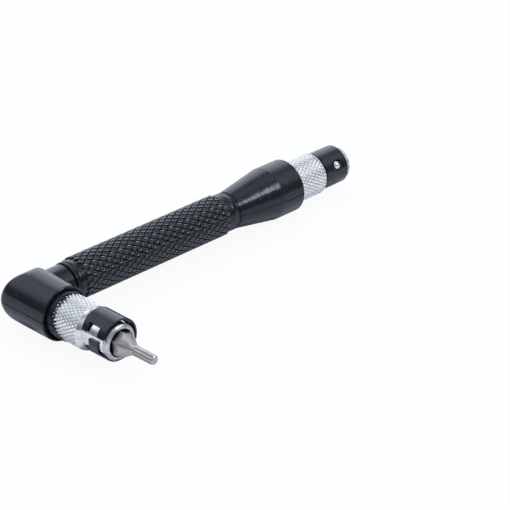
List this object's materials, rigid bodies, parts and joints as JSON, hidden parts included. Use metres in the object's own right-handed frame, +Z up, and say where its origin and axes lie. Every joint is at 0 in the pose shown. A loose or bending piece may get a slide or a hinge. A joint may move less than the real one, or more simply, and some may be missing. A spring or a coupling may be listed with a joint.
{
  "type": "offset screwdriver",
  "caption": "L-shaped offset screwdriver with a black padded grip and a knurled hex bit socket with a spring-band ball catch at each end; a star bit sits in the offset head.",
  "frame": {"origin": "on the table, under the middle of the tool's bounding box", "axes": "+X along the handle from the offset head to the straight head, -Y the way the offset bit points, +Z up from the table"},
  "size_m": [0.1244, 0.0553, 0.0156],
  "materials": {
    "handle_plastic": "gloss black moulding",
    "grip_rubber": "satin black over-moulding",
    "core_steel": "drawn bar",
    "socket_chrome": "bright plate",
    "spring_steel": "blackened spring steel",
    "ball_steel": "polished",
    "bit_steel": "satin tool steel"
  },
  "bodies": {
    "handle": {"handle_upper_shell": "handle_plastic", "handle_lower_shell": "handle_plastic", "grip_sleeve": "grip_rubber", "core_bar": "core_steel", "offset_socket": "socket_chrome", "straight_socket": "socket_chrome", "offset_spring_band": "spring_steel", "straight_spring_band": "spring_steel"},
    "offset_ball": {"offset_detent_ball": "ball_steel"},
    "straight_ball": {"straight_detent_ball": "ball_steel"},
    "bit": {"star_bit": "bit_steel"}
  },
  "joints": [
    {"name": "bit_pull", "type": "slide", "parent": "handle", "child": "bit", "axis": [0, -1, 0], "range_m": [0, 0.022]},
    {"name": "offset_ball_catch", "type": "slide", "parent": "handle", "child": "offset_ball", "axis": [0.9976, 0, 0.0698], "range_m": [0, 0.0003], "stiffness_N_per_m": 1500, "springref_m": -0.0008, "deforming": ["offset_spring_band"]},
    {"name": "straight_ball_catch", "type": "slide", "parent": "handle", "child": "straight_ball", "axis": [0, -0.891, 0.454], "range_m": [0, 0.0008], "stiffness_N_per_m": 1500, "springref_m": -0.0001, "deforming": ["straight_spring_band"]}
  ]
}
